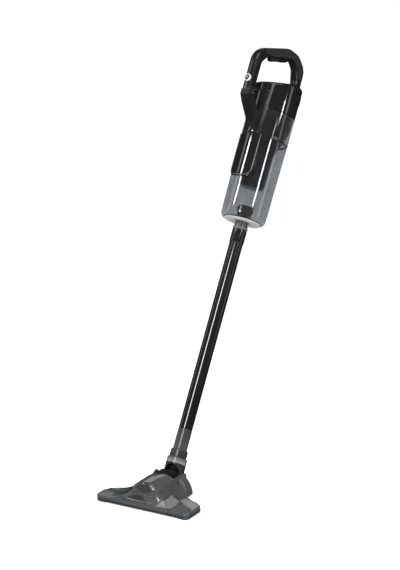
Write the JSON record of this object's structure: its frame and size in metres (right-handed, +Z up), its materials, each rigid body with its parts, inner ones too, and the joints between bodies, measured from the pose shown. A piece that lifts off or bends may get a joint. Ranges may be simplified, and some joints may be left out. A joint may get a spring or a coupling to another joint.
{
  "type": "cordless stick vacuum",
  "caption": "Cordless stick vacuum with loop handle, clear cyclone dust bin, straight tube wand, swivelling neck and wide flat floor head.",
  "frame": {"origin": "on the floor plane, on the floor head's middle plane, 50 mm behind its front edge", "axes": "+Z up, -Y towards the front of the floor head, +X to the head's right as seen from in front of it in the direction of +Y"},
  "size_m": [0.262, 0.7909, 1.0279],
  "materials": {
    "gloss_black": "high-gloss black moulded plastic",
    "matte_black": "fine textured matte black plastic",
    "soft_grip": "soft-touch elastomer",
    "smoke_clear": "smoke-tinted clear polycarbonate",
    "grey_plastic": "satin dark grey plastic",
    "light_grey": "light grey plastic",
    "chrome_trim": "bright plated ring",
    "tube_black": "gloss black coated aluminium tube",
    "filter_black": "fine mesh and foam",
    "filter_white": "pleated filter paper",
    "black_rubber": "black rubber",
    "steel": "zinc plated steel",
    "cell_wrap": "shrink-wrapped cells",
    "board_green": "glass-epoxy board",
    "bristle": "nylon bristle"
  },
  "bodies": {
    "main_unit": {"motor_housing": "gloss_black", "exhaust_cover": "light_grey", "cyclone_shroud": "smoke_clear", "seam_ring": "gloss_black", "cyclone_cone": "matte_black", "filter_mesh": "filter_black", "filter_tip": "grey_plastic", "foam_filter": "filter_black", "bin_seal": "black_rubber", "motor_can": "steel", "motor_mounts": "black_rubber", "fan_shroud": "matte_black", "battery_cells": "cell_wrap", "exhaust_filter": "filter_white", "control_board": "board_green", "front_panel": "gloss_black", "saddle": "gloss_black", "handle_base": "matte_black", "handle_left": "gloss_black", "handle_right": "gloss_black", "grip_pad": "soft_grip", "trigger_pin": "steel", "trigger_spring": "steel", "button_ring": "chrome_trim", "micro_switches": "matte_black", "handle_screws": "steel"},
    "fan_rotor": {"impeller": "matte_black", "motor_shaft": "steel"},
    "power_button": {"power_button": "matte_black"},
    "trigger": {"trigger": "matte_black"},
    "bin_latch": {"bin_latch": "light_grey"},
    "dust_bin": {"dust_bin": "smoke_clear", "bin_base": "light_grey", "inlet_pipe": "grey_plastic", "inlet_flap": "black_rubber", "inlet_collar": "light_grey"},
    "wand": {"wand_tube": "tube_black", "wand_sleeve": "gloss_black"},
    "wand_button": {"wand_button": "grey_plastic"},
    "neck_socket": {"neck_socket": "grey_plastic", "swivel_ring": "grey_plastic"},
    "neck_yoke": {"neck_collar": "grey_plastic", "elbow_bellows": "black_rubber"},
    "floor_head": {"head_cover": "grey_plastic", "dome_cap": "grey_plastic", "front_window": "gloss_black", "head_chassis": "grey_plastic", "fork_arms": "grey_plastic", "pivot_pins": "steel", "suction_duct": "black_rubber", "wheel_cheeks": "grey_plastic", "wheel_axles": "steel", "sole_plate": "matte_black", "sole_screws": "steel", "pedal_pin": "steel"},
    "wheel_left": {"wheel_left": "black_rubber"},
    "wheel_right": {"wheel_right": "black_rubber"},
    "brush_pedal": {"brush_pedal": "matte_black"},
    "brush_strip": {"brush_strip": "bristle"}
  },
  "joints": [
    {"name": "fan_spin", "type": "hinge", "parent": "main_unit", "child": "fan_rotor", "pos_m": [0, 0.61472, 0.86436], "axis": [0, 0.5252, 0.851], "continuous": true},
    {"name": "power_press", "type": "slide", "parent": "main_unit", "child": "power_button", "axis": [0.2504, 0.8239, -0.5084], "range_m": [0, 0.0015], "stiffness_N_per_m": 600, "springref_m": -0.0008},
    {"name": "trigger_pull", "type": "hinge", "parent": "main_unit", "child": "trigger", "pos_m": [0.00163, 0.6957, 0.9836], "axis": [-0.9681, 0.2131, -0.1315], "range_deg": [0, 4], "stiffness_Nm_per_rad": 1.2, "springref_deg": -6.88},
    {"name": "latch_press", "type": "slide", "parent": "main_unit", "child": "bin_latch", "axis": [-0.7604, 0.5527, -0.3411], "range_m": [0, 0.0004], "stiffness_N_per_m": 600, "springref_m": -0.0008},
    {"name": "bin_pull", "type": "slide", "parent": "main_unit", "child": "dust_bin", "axis": [0, -0.5252, -0.851], "range_m": [0, 0.125]},
    {"name": "wand_pull", "type": "slide", "parent": "dust_bin", "child": "wand", "axis": [0, -0.5252, -0.851], "range_m": [0, 0.048]},
    {"name": "wand_press", "type": "slide", "parent": "wand", "child": "wand_button", "axis": [0, -0.851, 0.5252], "range_m": [0, 0.0015], "stiffness_N_per_m": 600, "springref_m": -0.0008},
    {"name": "neck_pull", "type": "slide", "parent": "wand", "child": "neck_socket", "axis": [0, -0.5252, -0.851], "range_m": [0, 0.036]},
    {"name": "neck_swivel", "type": "hinge", "parent": "neck_socket", "child": "neck_yoke", "pos_m": [0, 0.12526, 0.07124], "axis": [0, 0.5252, 0.851], "range_deg": [-104.5, 75.5]},
    {"name": "neck_tilt", "type": "hinge", "parent": "neck_yoke", "child": "floor_head", "pos_m": [0, 0.1053, 0.0389], "axis": [1, 0, 0], "range_deg": [-31.68, 53]},
    {"name": "wheel_left_spin", "type": "hinge", "parent": "floor_head", "child": "wheel_left", "pos_m": [-0.045, 0.096, 0.015], "axis": [1, 0, 0], "continuous": true},
    {"name": "wheel_right_spin", "type": "hinge", "parent": "floor_head", "child": "wheel_right", "pos_m": [0.045, 0.096, 0.015], "axis": [1, 0, 0], "continuous": true},
    {"name": "pedal_rock", "type": "hinge", "parent": "floor_head", "child": "brush_pedal", "pos_m": [0, 0.046, 0.058], "axis": [1, 0, 0], "range_deg": [-9, 0]},
    {"name": "brush_lift", "type": "slide", "parent": "floor_head", "child": "brush_strip", "axis": [0, 0, 1], "range_m": [0, 0.0042]}
  ],
  "couplings": [
    {"joint": "brush_lift", "follows": "pedal_rock", "m_per_rad": -0.026738}
  ]
}
